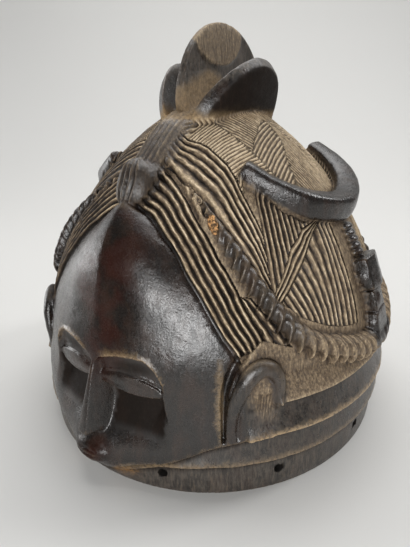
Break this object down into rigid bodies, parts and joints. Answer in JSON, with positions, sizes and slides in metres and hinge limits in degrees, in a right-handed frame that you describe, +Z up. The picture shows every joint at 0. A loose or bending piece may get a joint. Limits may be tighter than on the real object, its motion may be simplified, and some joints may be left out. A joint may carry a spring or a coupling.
{
  "type": "helmet mask",
  "caption": "Carved wooden helmet mask with a face on the front and the back, a rope of hair, horseshoe ridges, a three-leaf crest and a holed rim, hollow to go over the head",
  "frame": {"origin": "middle of the rim's underside, on the surface the mask stands on", "axes": "+Z up through the crest; -Y is the way the front face looks, +Y the way the back face looks, and X runs from ear to ear"},
  "size_m": [0.271, 0.2998, 0.268],
  "materials": {
    "carved_wood": "worn dark patina, glossy where handled, with pale dust in the cuts"
  },
  "bodies": {
    "root": {"helmet_mask": "carved_wood"}
  },
  "joints": []
}
